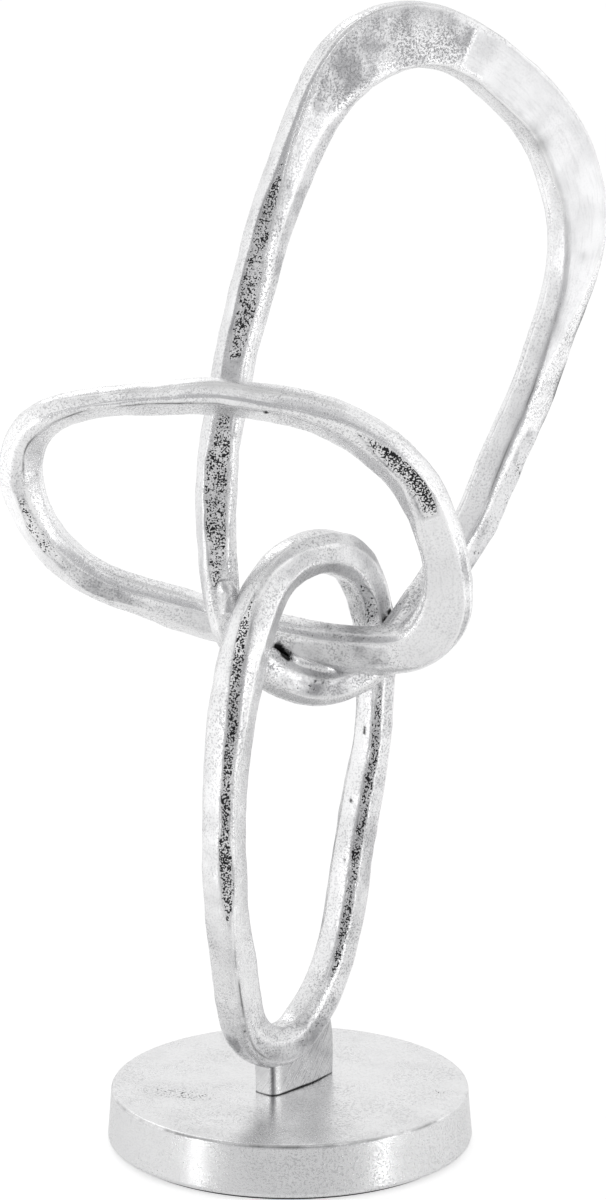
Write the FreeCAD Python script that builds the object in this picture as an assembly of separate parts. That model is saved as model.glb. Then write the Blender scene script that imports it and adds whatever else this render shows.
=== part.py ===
import FreeCAD
import Part
import math
import os

# A cast metal knot sculpture. Three closed links are threaded through one another: an upright
# lower link on a cast foot, a wide middle link and a tall upper link. Every pair is interlinked.
# The links rest against each other in the crook of the knot and are tacked there with weld beads.
# One screw through the base disc pulls the foot down, and a felt pad covers the screw's recess.
#
# Frame: millimetres, +Z up, the origin on the table at the centre of the felt pad.
# The front of the sculpture looks towards -Y, with +X on its right.

V = FreeCAD.Vector
UP = V(0, 0, 1)

# Base disc: a solid round casting whose rim leans in a little, so that it leaves its mould.
base_diameter = 121.2
base_thickness = 17.6
base_rim_lean = 1.3
base_top_edge_break = 1.0
base_bottom_edge_break = 1.4

# Felt pad under the base.
pad_inset = 1.8
pad_thickness = 1.4

# M6 screw, spring washer and flat washer, in a recess under the base.
screw_diameter = 6.0
screw_length = 25.0
screw_head_across_flats = 10.0
screw_head_height = 4.0
screw_tip_chamfer = 0.7
flat_washer_diameter = 12.0
flat_washer_thickness = 1.6
spring_washer_diameter = 11.8
spring_washer_thickness = 1.6
spring_washer_split = 1.2
recess_diameter = 21.0
recess_head_room = 1.2
hole_clearance = 0.3
thread_clearance = 0.05
tapped_hole_extra = 1.5

# Foot: a slim block cast in one with the lower link. Its ends are rounded.
foot_length = 34.0
foot_thickness = 10.6
foot_corner_radius = 3.4
foot_offset = 3.2

# Section of a cast bar: six flats. Two walls face outwards and inwards in the link's plane, and the front
# and back are each ground to two slopes that meet in a ridge. The slopes' falls and the ridges wander along
# the bar. A ridge's place is a share of the half width: a mean, a swing, and the turn where it swings out.
slope_fall = 3.4
slope_wander_share = 0.18
slope_waves = (2, 3, 3, 2)
slope_phase_shares = (0.10, 0.35, 0.62, 0.85)
lower_ridge_shares = (0.05, 0.30, 0.70)
upper_ridge_shares = (-0.12, -0.42, 0.47)
middle_ridge_shares = (0.05, 0.22, 0.15)
cope_gap = 0.15

# Lower link. Across and up shares are of its width and rise, from the foot's sole on the base axis.
# The third share is of the bar's width.
lower_bearing_deg = 50.0
lower_width = 77.5
lower_rise = 179.2
lower_bar_width = 14.2
lower_bar_depth = 14.0
lower_depth_follow_share = 0.9
lower_outline_shares = (
    (-0.065, 0.085, 0.95), (0.160, 0.135, 0.95), (0.310, 0.225, 0.93), (0.390, 0.330, 0.94),
    (0.450, 0.440, 0.95), (0.520, 0.545, 0.95), (0.575, 0.655, 0.90), (0.585, 0.765, 0.91),
    (0.535, 0.875, 0.99), (0.400, 0.965, 0.98), (0.160, 1.000, 1.00), (-0.085, 0.975, 1.05),
    (-0.240, 0.890, 1.14), (-0.340, 0.785, 1.13), (-0.395, 0.680, 1.05), (-0.420, 0.570, 0.98),
    (-0.420, 0.455, 0.99), (-0.400, 0.345, 0.98), (-0.355, 0.235, 1.00), (-0.285, 0.135, 0.97),
)

# Upper link, from its lowest point, which hangs in the lower link's crown.
upper_width = 132.0
upper_height = 210.0
upper_bar_width = 13.4
upper_bar_depth = 11.8
upper_depth_follow_share = 0.0
upper_lean_deg = 2.6
upper_drop = 45.0
upper_shift = 3.2
upper_bearing_guess_deg = 25.0
upper_set_back_guess = 1.7
upper_outline_shares = (
    (0.010, 0.000, 0.96), (0.150, 0.030, 0.96), (0.260, 0.095, 0.98), (0.355, 0.165, 1.03),
    (0.445, 0.245, 1.08), (0.510, 0.330, 1.09), (0.580, 0.410, 1.11), (0.640, 0.500, 1.09),
    (0.695, 0.585, 1.17), (0.725, 0.680, 1.41), (0.705, 0.770, 1.52), (0.640, 0.855, 1.47),
    (0.535, 0.925, 1.41), (0.415, 0.980, 1.41), (0.270, 1.005, 1.60), (0.130, 0.980, 1.67),
    (0.025, 0.910, 1.39), (-0.045, 0.825, 1.21), (-0.105, 0.740, 1.16), (-0.155, 0.650, 1.10),
    (-0.200, 0.560, 1.03), (-0.235, 0.470, 0.98), (-0.265, 0.375, 0.97), (-0.275, 0.285, 0.95),
    (-0.270, 0.190, 0.90), (-0.235, 0.100, 0.92), (-0.130, 0.030, 0.98),
)

# Middle link, from its lowest point, which lies in the saddle of the upper link.
middle_width = 138.0
middle_height = 90.5
middle_bar_width = 13.2
middle_bar_depth = 11.6
middle_depth_follow_share = 0.0
middle_drop = 31.5
middle_shift = 18.1
middle_bearing_guess_deg = -9.7
middle_lean_guess_deg = -15.5
middle_set_back_guess = -3.1
middle_outline_shares = (
    (0.000, -0.010, 1.24), (0.110, 0.020, 1.25), (0.180, 0.150, 1.30), (0.195, 0.315, 1.13),
    (0.175, 0.480, 1.08), (0.135, 0.640, 1.11), (0.070, 0.775, 1.09), (-0.020, 0.880, 1.06),
    (-0.120, 0.945, 0.99), (-0.230, 0.975, 0.93), (-0.340, 0.990, 0.97), (-0.450, 0.980, 0.87),
    (-0.560, 0.965, 0.79), (-0.670, 0.935, 0.81), (-0.765, 0.850, 0.96), (-0.800, 0.695, 1.03),
    (-0.775, 0.530, 0.97), (-0.715, 0.385, 0.93), (-0.635, 0.275, 0.93), (-0.535, 0.195, 0.96),
    (-0.435, 0.130, 1.10), (-0.325, 0.080, 1.06), (-0.220, 0.045, 1.06), (-0.110, 0.005, 1.16),
)

# How close the links lie where they are welded: a gap between their flats, or a depth that the upper
# link is let into its neighbour.
near_arm_gap = 0.4
far_arm_gap = 0.4
crest_gap = 0.4
left_saddle_depth = 0.55
right_saddle_depth = 0.8

# Stretches of the two links that lie against each other, as shares of the way round each.
# A share below zero lies just before the link's first station.
near_arm_shares = ((0.88, 0.96), (0.60, 0.76))
far_arm_shares = ((0.03, 0.12), (0.30, 0.46))
left_saddle_shares = ((-0.13, -0.06), (-0.08, -0.02))
right_saddle_shares = ((-0.04, 0.03), (0.005, 0.07))
crest_shares = ((0.34, 0.52), (0.70, 0.84))

# Weld beads: a ground lump of metal at each contact, which fills the crevice between two bars.
# Each level is an eight-sided outline: its height and its radius, as shares of the lump's.
bead_radius = 6.4
bead_half_height = 5.2
bead_sides = 8
bead_level_shares = ((-1, 0.50), (-0.45, 0.90), (0.45, 0.90), (1, 0.50))

# Drawing and seating. A seating round moves a link by no more than the limits.
section_count = 40
seat_rounds = 12
seat_move_share = 0.7
angle_step_deg = 0.1
angle_limit_deg = 2.0
slide_step = 0.05
slide_limit = 1.5

base_radius = base_diameter / 2
base_top = pad_thickness + base_thickness
washer_stack = flat_washer_thickness + spring_washer_thickness
recess_depth = screw_head_height + washer_stack + recess_head_room
screw_seat = pad_thickness + recess_depth
screw_head_seat = screw_seat - washer_stack
screw_tip = screw_head_seat + screw_length


def bearing(angle_deg):
    """Level direction at an angle from +X, as seen from above."""
    angle = math.radians(angle_deg)
    return V(math.cos(angle), math.sin(angle), 0)


def plane_axes(bearing_deg, lean_deg):
    """Across, up and facing directions of a link's flat plane. A positive lean tips its top backwards."""
    across = bearing(bearing_deg)
    level_facing = across.cross(UP)
    lean = math.radians(lean_deg)
    up = UP * math.cos(lean) - level_facing * math.sin(lean)
    return across, up, across.cross(up)


def grown(corners, growth):
    """A closed outline with every side moved out by the growth. Its corners run anticlockwise."""
    normals = []
    for (a, b), (c, d) in zip(corners, corners[1:] + corners[:1]):
        length = math.hypot(c - a, d - b)
        normals.append(((d - b) / length, (a - c) / length))
    moved = []
    for (a, b), (p, q), (r, t) in zip(corners, normals[-1:] + normals[:-1], normals):
        share = growth / (1 + p * r + q * t)
        moved.append((a + (p + r) * share, b + (q + t) * share))
    return moved


class Link:
    """A closed bar in one plane: a smooth line through its stations, and a bar size at each station."""

    def __init__(self, outline_shares, width, height, bar_width, bar_depth, depth_follow_share, ridge_shares):
        self.bar_width = bar_width
        self.bar_depth = bar_depth
        self.depth_follow_share = depth_follow_share
        self.ridge_mean, self.ridge_swing, self.ridge_turn = ridge_shares
        self.stations = [(a * width, u * height) for a, u, _ in outline_shares]
        self.knots = [0.0]
        for here, there in zip(self.stations, self.stations[1:] + self.stations[:1]):
            self.knots.append(self.knots[-1] + math.dist(here, there))
        widths = [bar_width * share for _, _, share in outline_shares]
        self.width_line = self.closed_line([V(a, u, w) for (a, u), w in zip(self.stations, widths)])

    def closed_line(self, points):
        line = Part.BSplineCurve()
        line.interpolate(Points=points, PeriodicFlag=True, Parameters=self.knots)
        return line

    def place(self, origin, bearing_deg, lean_deg):
        """Stands the link in its plane, with the zero point of its stations at the origin given."""
        across, up, self.facing = plane_axes(bearing_deg, lean_deg)
        points = [origin + across * a + up * u for a, u in self.stations]
        self.line = self.closed_line(points)

    def at(self, share):
        """Parameter at a share of the way round."""
        return self.knots[-1] * share

    def stretch(self, shares):
        return self.line.toShape(self.at(shares[0]), self.at(shares[1]))

    def profile(self, width, turn):
        """Corners of the bar's outline at a turn: outwards in the link's plane, then forwards."""
        depth = self.bar_depth * (1 + self.depth_follow_share * (width / self.bar_width - 1))
        half_width = width / 2
        half_depth = depth / 2
        walls = []
        for waves, phase in zip(slope_waves, slope_phase_shares):
            wander = math.sin(2 * math.pi * (waves * turn + phase))
            walls.append(half_depth - slope_fall * (1 + slope_wander_share * wander))
        swing = self.ridge_swing * math.cos(2 * math.pi * (turn - self.ridge_turn))
        return [
            (half_width, walls[0]), (half_width * (self.ridge_mean + swing), half_depth),
            (-half_width, walls[1]), (-half_width, -walls[2]),
            (half_width * (self.ridge_mean - swing), -half_depth), (half_width, -walls[3])]

    def section(self, parameter, growth):
        """Corners of the bar in space, in order round it, with every flat moved out by the growth."""
        parameter %= self.knots[-1]
        outline = grown(self.profile(self.width_line.value(parameter).z, parameter / self.knots[-1]), growth)
        centre = self.line.value(parameter)
        outward = self.line.tangent(parameter)[0].cross(self.facing).normalize()
        return [centre + outward * w + self.facing * d for w, d in outline], centre

    def reach(self, parameter, direction):
        """How far the bar's section stands out from its centre in a direction."""
        corners, centre = self.section(parameter, 0)
        return max((corner - centre).dot(direction) for corner in corners)

    def solid(self, growth=0):
        """Six ruled flats between the arrises, which run round the link as smooth closed lines."""
        rows = []
        marks = []
        for i in range(section_count):
            marks.append(self.at(i / section_count))
            rows.append(self.section(marks[-1], growth)[0])
        marks.append(self.knots[-1])
        arrises = []
        for corner in range(len(rows[0])):
            arris = Part.BSplineCurve()
            arris.interpolate(Points=[row[corner] for row in rows], PeriodicFlag=True, Parameters=marks)
            arrises.append(arris)
        flats = []
        for arris, following in zip(arrises, arrises[1:] + arrises[:1]):
            flat = Part.BSplineSurface()
            flat.buildFromPolesMultsKnots(
                [following.getPoles(), arris.getPoles()], [2, 2], arris.getMultiplicities(),
                [0, 1], arris.getKnots(), False, True, 1, arris.Degree)
            flats.append(flat.toShape())
        shell = Part.makeShell(flats)
        shell.sewShape()
        body = Part.makeSolid(shell)
        if body.Volume < 0:
            body.reverse()
        return body


class Contact:
    """Where two links lie against each other: the nearest points of two stretches of their centre lines."""

    def __init__(self, link, other, shares, wanted_gap):
        self.link = link
        self.other = other
        self.shares = shares
        self.wanted_gap = wanted_gap

    def measure(self):
        distance, pairs, _ = self.link.stretch(self.shares[0]).distToShape(self.other.stretch(self.shares[1]))
        here, there = pairs[0]
        self.direction = (there - here).normalize()
        reach = self.link.reach(self.link.line.parameter(here), self.direction)
        other_reach = self.other.reach(self.other.line.parameter(there), self.direction * -1)
        self.gap = distance - reach - other_reach
        self.point = here + self.direction * (reach + self.gap / 2)
        return self.gap - self.wanted_gap


def solve(rows, right):
    """Solves a few linear equations by elimination."""
    table = [list(row) + [value] for row, value in zip(rows, right)]
    count = len(table)
    for i in range(count):
        pivot = max(range(i, count), key=lambda r: abs(table[r][i]))
        table[i], table[pivot] = table[pivot], table[i]
        for r in range(count):
            if r != i:
                factor = table[r][i] / table[i][i]
                table[r] = [a - factor * b for a, b in zip(table[r], table[i])]
    return [table[i][count] / table[i][i] for i in range(count)]


def seat(stand, guess, steps, limits, contacts):
    """Turns and slides a link, from a guess, until it lies as close to its neighbours as each contact wants."""

    def misses(values):
        stand(values)
        return [contact.measure() for contact in contacts]

    values = list(guess)
    for _ in range(seat_rounds):
        now = misses(values)
        columns = []
        for i, step in enumerate(steps):
            nudged = list(values)
            nudged[i] += step
            columns.append([(there - here) / step for there, here in zip(misses(nudged), now)])
        moves = solve(list(zip(*columns)), [-miss for miss in now])
        share = min([seat_move_share] + [limit / abs(move) for limit, move in zip(limits, moves) if move])
        values = [value + move * share for value, move in zip(values, moves)]
    misses(values)


def lower_link_line():
    link = Link(lower_outline_shares, lower_width, lower_rise, lower_bar_width, lower_bar_depth,
                lower_depth_follow_share, lower_ridge_shares)
    link.place(V(0, 0, base_top), lower_bearing_deg, 0)
    return link


def upper_link_line(lower, crown):
    """The upper link is seated behind the lower link's near arm and in front of its far arm."""
    link = Link(upper_outline_shares, upper_width, upper_height, upper_bar_width, upper_bar_depth,
                upper_depth_follow_share, upper_ridge_shares)
    contacts = {
        "weld_near_arm": Contact(link, lower, near_arm_shares, near_arm_gap),
        "weld_far_arm": Contact(link, lower, far_arm_shares, far_arm_gap),
    }

    def stand(values):
        bearing_deg, set_back = values
        link.place(crown + V(upper_shift, set_back, -upper_drop), bearing_deg, upper_lean_deg)

    seat(stand, (upper_bearing_guess_deg, upper_set_back_guess), (angle_step_deg, slide_step),
         (angle_limit_deg, slide_limit), contacts.values())
    return link, contacts


def middle_link_line(upper, crown):
    """The middle link is seated behind the upper link's bend on the left, and in front of it twice."""
    link = Link(middle_outline_shares, middle_width, middle_height, middle_bar_width, middle_bar_depth,
                middle_depth_follow_share, middle_ridge_shares)
    contacts = {
        "weld_left_saddle": Contact(link, upper, left_saddle_shares, -left_saddle_depth),
        "weld_right_saddle": Contact(link, upper, right_saddle_shares, -right_saddle_depth),
        "weld_crest": Contact(link, upper, crest_shares, crest_gap),
    }

    def stand(values):
        bearing_deg, lean_deg, set_back = values
        link.place(crown + V(middle_shift, set_back, -middle_drop), bearing_deg, lean_deg)

    seat(stand, (middle_bearing_guess_deg, middle_lean_guess_deg, middle_set_back_guess),
         (angle_step_deg, angle_step_deg, slide_step), (angle_limit_deg, angle_limit_deg, slide_limit),
         contacts.values())
    return link, contacts


def foot_and_lower_link(lower):
    """The lower link with its foot, and the tapped hole that the screw goes up into."""
    bar_height = lower.line.value(lower.at(0)).z
    block = Part.makeBox(foot_length, foot_thickness, bar_height - base_top)
    corners = [e for e in block.Edges if abs(e.tangentAt(0).z) > 0.9]
    block = block.makeFillet(foot_corner_radius, corners)
    block.translate(V(-foot_length / 2 + foot_offset, -foot_thickness / 2, base_top))
    block.rotate(V(0, 0, 0), UP, lower_bearing_deg)
    hole = Part.makeCylinder(screw_diameter / 2 + thread_clearance, screw_tip + tapped_hole_extra - base_top,
                             V(0, 0, base_top))
    return lower.solid().fuse(block).cut(hole)


def base_disc():
    """The disc, turned about the base axis, with its recess and the screw's clearance hole."""
    top_radius = base_radius - base_rim_lean
    profile = Part.makePolygon([
        V(0, 0, pad_thickness),
        V(base_radius - base_bottom_edge_break, 0, pad_thickness),
        V(base_radius, 0, pad_thickness + base_bottom_edge_break),
        V(top_radius, 0, base_top - base_top_edge_break),
        V(top_radius - base_top_edge_break, 0, base_top),
        V(0, 0, base_top),
        V(0, 0, pad_thickness)])
    disc = Part.Face(profile).revolve(V(0, 0, 0), UP, 360)
    recess = Part.makeCylinder(recess_diameter / 2, recess_depth, V(0, 0, pad_thickness))
    hole = Part.makeCylinder(screw_diameter / 2 + hole_clearance, base_thickness, V(0, 0, pad_thickness))
    return disc.cut(recess.fuse(hole))


def felt_pad():
    return Part.makeCylinder(base_radius - base_bottom_edge_break - pad_inset, pad_thickness)


def ring(outer_diameter, inner_diameter, thickness, height):
    outer = Part.makeCylinder(outer_diameter / 2, thickness, V(0, 0, height))
    return outer.cut(Part.makeCylinder(inner_diameter / 2, thickness, V(0, 0, height)))


def flat_washer():
    return ring(flat_washer_diameter, screw_diameter + 2 * hole_clearance, flat_washer_thickness,
                screw_seat - flat_washer_thickness)


def spring_washer():
    """A split ring, closed flat by the screw. The split is cut at a slant."""
    bottom = screw_head_seat
    washer = ring(spring_washer_diameter, screw_diameter + 2 * hole_clearance, spring_washer_thickness, bottom)
    half = spring_washer_diameter / 2
    slit = Part.Face(Part.makePolygon([
        V(half, -spring_washer_split, bottom), V(half, 0, bottom),
        V(half, spring_washer_split, bottom + spring_washer_thickness),
        V(half, 0, bottom + spring_washer_thickness), V(half, -spring_washer_split, bottom)]))
    return washer.cut(slit.extrude(V(-half, 0, 0)))


def screw():
    """A hexagon-head screw, head down in the recess, with a chamfered tip in the foot."""
    head_bottom = screw_head_seat - screw_head_height
    corner = screw_head_across_flats / 2 / math.cos(math.pi / 6)
    outline = ring_points(corner, 6, head_bottom)
    head = Part.Face(Part.makePolygon(outline + outline[:1])).extrude(V(0, 0, screw_head_height))
    shank = Part.makeCylinder(screw_diameter / 2, screw_length - screw_tip_chamfer, V(0, 0, screw_head_seat))
    point = Part.makeCone(screw_diameter / 2, screw_diameter / 2 - screw_tip_chamfer, screw_tip_chamfer,
                          V(0, 0, screw_tip - screw_tip_chamfer))
    return head.fuse([shank, point]).removeSplitter()


def ring_points(radius, sides, height):
    """Corners of a level regular polygon round the Z axis."""
    turns = [2 * math.pi * i / sides for i in range(sides)]
    return [V(radius * math.cos(turn), radius * math.sin(turn), height) for turn in turns]


def weld_bead(contact, bars):
    """A ground lump of weld metal at a contact, less the two bars that it joins."""
    levels = [ring_points(bead_radius * r, bead_sides, bead_half_height * h) for h, r in bead_level_shares]
    outlines = [list(reversed(levels[0])), levels[-1]]
    for low, high in zip(levels, levels[1:]):
        for i in range(bead_sides):
            j = (i + 1) % bead_sides
            outlines.append([low[i], low[j], high[j], high[i]])
    faces = [Part.Face(Part.makePolygon(outline + outline[:1])) for outline in outlines]
    lump = Part.makeSolid(Part.makeShell(faces))
    lump.Placement = FreeCAD.Placement(contact.point, FreeCAD.Rotation(UP, contact.direction))
    return lump.cut(bars)


def main():
    os.makedirs("parts", exist_ok=True)
    lower = lower_link_line()
    crown = max(lower.line.discretize(Number=section_count * 4), key=lambda p: p.z)
    upper, arm_contacts = upper_link_line(lower, crown)
    middle, saddle_contacts = middle_link_line(upper, crown)
    lower_solid = foot_and_lower_link(lower)
    middle_solid = middle.solid()
    # The upper link is coped around both its neighbours, so that the bars can lie close.
    upper_solid = upper.solid().cut(lower.solid(cope_gap)).cut(middle.solid(cope_gap))
    pieces = {
        "felt_pad": felt_pad(),
        "base_disc": base_disc(),
        "fixing_screw": screw(),
        "spring_washer": spring_washer(),
        "flat_washer": flat_washer(),
        "lower_link": lower_solid,
        "upper_link": upper_solid,
        "middle_link": middle_solid,
    }
    for name, contact in arm_contacts.items():
        pieces[name] = weld_bead(contact, [upper_solid, lower_solid])
    for name, contact in saddle_contacts.items():
        pieces[name] = weld_bead(contact, [middle_solid, upper_solid])
    for name, shape in pieces.items():
        shape.exportStep(f"parts/{name}.step")
        print(name, shape.isValid(), len(shape.Solids), round(shape.Volume, 1))
    for name, contact in {**arm_contacts, **saddle_contacts}.items():
        print(name, "lies", round(contact.gap, 3), "mm clear at", contact.point)


main()
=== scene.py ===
import bpy
import numpy as np
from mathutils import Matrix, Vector


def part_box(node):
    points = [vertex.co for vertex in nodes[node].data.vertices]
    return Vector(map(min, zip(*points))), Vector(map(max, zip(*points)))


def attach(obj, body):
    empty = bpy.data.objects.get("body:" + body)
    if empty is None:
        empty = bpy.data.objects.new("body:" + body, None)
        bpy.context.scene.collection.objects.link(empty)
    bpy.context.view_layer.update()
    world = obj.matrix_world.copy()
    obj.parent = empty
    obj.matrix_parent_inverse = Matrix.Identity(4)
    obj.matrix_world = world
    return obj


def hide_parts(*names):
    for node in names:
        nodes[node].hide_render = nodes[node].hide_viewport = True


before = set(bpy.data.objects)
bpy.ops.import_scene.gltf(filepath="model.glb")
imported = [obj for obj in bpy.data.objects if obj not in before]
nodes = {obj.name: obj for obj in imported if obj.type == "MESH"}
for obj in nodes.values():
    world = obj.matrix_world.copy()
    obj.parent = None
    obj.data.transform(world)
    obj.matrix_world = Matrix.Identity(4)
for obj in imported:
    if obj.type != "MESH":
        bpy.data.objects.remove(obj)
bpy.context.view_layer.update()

# Base disc: a solid round aluminium casting, its rim turned on a lathe and leaning in a little.
# The top keeps a fine cast grain with a few open pits. The foot's screw comes up through a recess.
# Lengths of pieces are in millimetres. Those of materials, lamps and the camera are in metres.


def grey(level, cool=0.0):
    """A grey, with cool added to its blue."""
    return (level, level, level + cool, 1)


MM = 0.001
base_low, base_high = (np.array(corner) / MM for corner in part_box("base_disc"))
base_radius = base_high[0]
base_rim_lean = 1.3
base_edge_round = 0.6
base_edge_blend_share = 0.8
recess_radius = 10.5
recess_depth = 8.4
screw_hole_radius = 3.3
base_columns = 300
base_side_samples = 26
# Hand dressing lowers a face by its skim and leaves dips in it, as layers of a height and a cell size. It
# stops short of the recess and of the underside.
base_skim = 0.08
base_dips = ((0.05, 14.0), (0.03, 5.0))
undressed_by_recess = 2.0
undressed_by_table = 1.0
# Pitted patches of the top: place, half length and half breadth.
base_pit_places = ((-40.0, -8.0, 15.0, 6.0), (-30.0, -14.0, 9.0, 4.0), (50.0, -9.0, 5.0, 6.0))
base_pitting = 0.70
# The painted reflection under the edge, a dark line: how far down, its half breadth, its strength and the
# noise that breaks it.
edge_line_drop = 0.55
edge_line_half = 0.42
edge_line_strength = 0.75
edge_line_breaks = ((0.5, 9.0), (0.35, 2.0))
# How much more of it there is at the front, how much less elsewhere, and where the front begins, in shares of
# the radius.
edge_line_front = 0.65
edge_line_loss = 0.05
edge_front_share = 0.5
edge_front_rise_share = 0.3
base_seed = 3
# Noise: how many random values it has, and how far along their list one step in x, y and z goes.
cloud_values = 4096
cloud_steps = (73, 179, 283)
# A round corner takes at most this share of each side, so that two of them never meet.
corner_cut_share = 0.45


def cloud(points, size, seed):
    """Smooth noise from -1 to 1. Each corner of a cubic lattice of that size has a random value, and a point
    mixes the eight round it by weights of f * f * (3 - 2 f), where f is its place in the cell."""
    values = np.random.default_rng(seed).uniform(-1, 1, cloud_values)
    cell = np.floor(points / size).astype(int)
    part = points / size - cell
    part = part * part * (3 - 2 * part)
    total = np.zeros(points.shape[:-1])
    for corner in np.ndindex(2, 2, 2):
        place = (cell + corner) @ np.array(cloud_steps)
        total += values[place % cloud_values] * np.prod(np.where(corner, part, 1 - part), axis=-1)
    return total


def clouds(points, layers, seed):
    """Layers of cloud added up. A layer is a height and a cell size, and each has its own seed."""
    return sum(height * cloud(points, size, seed + place) for place, (height, size) in enumerate(layers))


def steps(points, axis=1):
    """How far each point is from the next one along an axis that closes on itself."""
    return np.linalg.norm(np.roll(points, -1, axis=axis) - points, axis=-1)


def side_shares(samples):
    """Shares of the way along a side, from 0 up to 1, closer together towards both ends."""
    return (1 - np.cos(np.pi * np.arange(samples) / samples)) / 2


def rounded_outline(corners, round_size, samples):
    """Points round a closed outline (rows, corners, 2) whose corners are cut by curves, and the distance of
    each to its side's nearer corner. s is the share of the way along a side. Within round_size of a corner P
    a point is (1-u)^2 A + 2u(1-u) P + u^2 B, where A and B lie round_size away on the two sides."""
    def curve(first, corner, last, u):
        return (1 - u) ** 2 * first + 2 * u * (1 - u) * corner + u ** 2 * last

    length = steps(corners)[..., None]
    cut = np.minimum(corner_cut_share, round_size / length)
    s = side_shares(samples)[None, None, :, None]
    before, here, there, beyond = (np.roll(corners, shift, axis=1)[:, :, None] for shift in (1, 0, -1, -2))
    cut_before, cut_here, cut_beyond = (np.roll(cut, shift, axis=1)[:, :, None] for shift in (1, 0, -1))
    start = curve(here + (before - here) * cut_before, here, here + (there - here) * cut_here,
                  0.5 + 0.5 * s / cut_here)
    end = curve(there + (here - there) * cut_here, there, there + (beyond - there) * cut_beyond,
                0.5 - 0.5 * (1 - s) / cut_here)
    points = np.where(s < cut_here, start, np.where(s > 1 - cut_here, end, here + (there - here) * s))
    edge_gap = np.minimum(s, 1 - s) * length[:, :, None]
    rows = len(corners)
    return points.reshape(rows, -1, 2), edge_gap.reshape(rows, -1)


def turned(angle, radius, height):
    """Points at an angle, a radius and a height round the upright axis."""
    return np.stack(np.broadcast_arrays(radius * np.cos(angle), radius * np.sin(angle), height), axis=-1)


def raised(points, rise):
    """Moves each point of a closed grid along its normal, row step x column step."""
    along = np.roll(points, -1, axis=0) - np.roll(points, 1, axis=0)
    across = np.roll(points, -1, axis=1) - np.roll(points, 1, axis=1)
    normal = np.cross(along, across)
    normal = normal / np.maximum(np.linalg.norm(normal, axis=2, keepdims=True), 1e-9)
    return points + normal * rise[..., None]


def closed_grid(name, material, points, masks):
    """Makes a piece from points (rows, columns, 3) in millimetres that close on themselves both ways. Its
    faces point along row step x column step. Its UV map holds the metres along and round the surface. A mask
    that isn't given is 0."""
    rows, columns = points.shape[:2]
    index = np.arange(rows * columns).reshape(rows, columns)
    below, right = np.roll(index, -1, axis=0), np.roll(index, -1, axis=1)
    faces = np.stack([index, below, np.roll(below, -1, axis=1), right], axis=-1).reshape(-1, 4)
    mesh = bpy.data.meshes.new(name)
    mesh.from_pydata((points * MM).reshape(-1, 3), [], faces.tolist())
    mesh.shade_smooth()
    mesh.materials.append(material)
    for mask in ("cast", "painted_highlight", "seam"):
        values = np.broadcast_to(masks.get(mask, 0.0), (rows, columns)).astype(np.float32)
        mesh.attributes.new(mask, "FLOAT", "POINT").data.foreach_set("value", values.ravel())
    u = np.concatenate([[0], np.cumsum(steps(points, 0).mean(axis=1))]) * MM
    v = np.concatenate([[0], np.cumsum(steps(points, 1).mean(axis=0))]) * MM
    row, column = np.meshgrid(np.arange(rows), np.arange(columns), indexing="ij")
    corner_u = np.stack([u[row], u[row + 1], u[row + 1], u[row]], axis=-1)
    corner_v = np.stack([v[column], v[column], v[column + 1], v[column + 1]], axis=-1)
    layer = mesh.uv_layers.new(name="run")
    layer.data.foreach_set("uv", np.stack([corner_u, corner_v], axis=-1).astype(np.float32).ravel())
    piece = bpy.data.objects.new(name, mesh)
    bpy.context.scene.collection.objects.link(piece)
    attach(piece, "root")
    return piece


def node(tree, kind, inputs=None, **settings):
    """Adds a shader node. An input, by name or number, takes a value or another node's output."""
    made = tree.nodes.new(kind)
    for key, value in settings.items():
        setattr(made, key, value)
    for key, value in (inputs or {}).items():
        if isinstance(value, bpy.types.NodeSocket):
            tree.links.new(value, made.inputs[key])
        else:
            made.inputs[key].default_value = value
    return made


def mixed(share, first, second):
    """The first colour at a share of 0, the second at 1. The share is a node's output."""
    made = node(share.id_data, "ShaderNodeMix", {0: share, 6: first, 7: second}, data_type="RGBA")
    return made.outputs[2]


def chained(operation, *values):
    """Output of Math nodes that take the values one after another. At least one is a node's output."""
    tree = next(value.id_data for value in values if isinstance(value, bpy.types.NodeSocket))
    total = values[0]
    for value in values[1:]:
        total = node(tree, "ShaderNodeMath", {0: total, 1: value}, operation=operation).outputs[0]
    return total


def plus(*values):
    """The values added up."""
    return chained("ADD", *values)


def minus(*values):
    """The first value less the others."""
    return chained("SUBTRACT", *values)


def times(*values):
    """The values multiplied."""
    return chained("MULTIPLY", *values)


def clamped(value):
    """The value held between 0 and 1."""
    return node(value.id_data, "ShaderNodeClamp", {"Value": value}).outputs["Result"]


def smooth_step(value, low, high):
    """Output that runs from 0 at low to 1 at high, with soft ends."""
    return node(value.id_data, "ShaderNodeMapRange", {"Value": value, "From Min": low, "From Max": high},
                interpolation_type="SMOOTHSTEP").outputs["Result"]


def noise(where, scale, detail=2.0, roughness=0.5):
    """Output of a Noise Texture at a place. The scale is in cells to the metre."""
    return node(where.id_data, "ShaderNodeTexNoise", {
        "Vector": where, "Scale": scale, "Detail": detail, "Roughness": roughness}).outputs["Fac"]


silver_bright = grey(0.88, 0.005)
silver_dull = grey(0.42, 0.01)
# Painted highlight: the white mixed in along crests and edges.
painted_highlight_white = grey(0.98)
pit_black = grey(0.035, 0.002)
# Black of pores, and of painted shade in crevices, creases, joints and the hole between the bars.
pore_and_shade_black = grey(0.02, 0.001)
# Cells to the metre: sand grain, the flecks that become pits, their patches, grainy regions and smudges.
grain_scale = 1550.0
fleck_scale = 1700.0
patch_scale = 260.0
region_scale = 48.0
smudge_scale = 70.0
# Bands of those noises over which specks, grainy regions, smudges and grinding marks come in.
speck_band = (0.50, 0.62)
region_band = (0.36, 0.62)
smudge_band = (0.42, 0.68)
mark_band = (0.50, 0.66)
# Bands of cast in which pits start and the ground between them grows light, and of polish in which metal is
# buffed.
pit_start_band = (0.30, 0.55)
light_ground_band = (0.45, 0.80)
buff_band = (0.42, 0.85)
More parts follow.
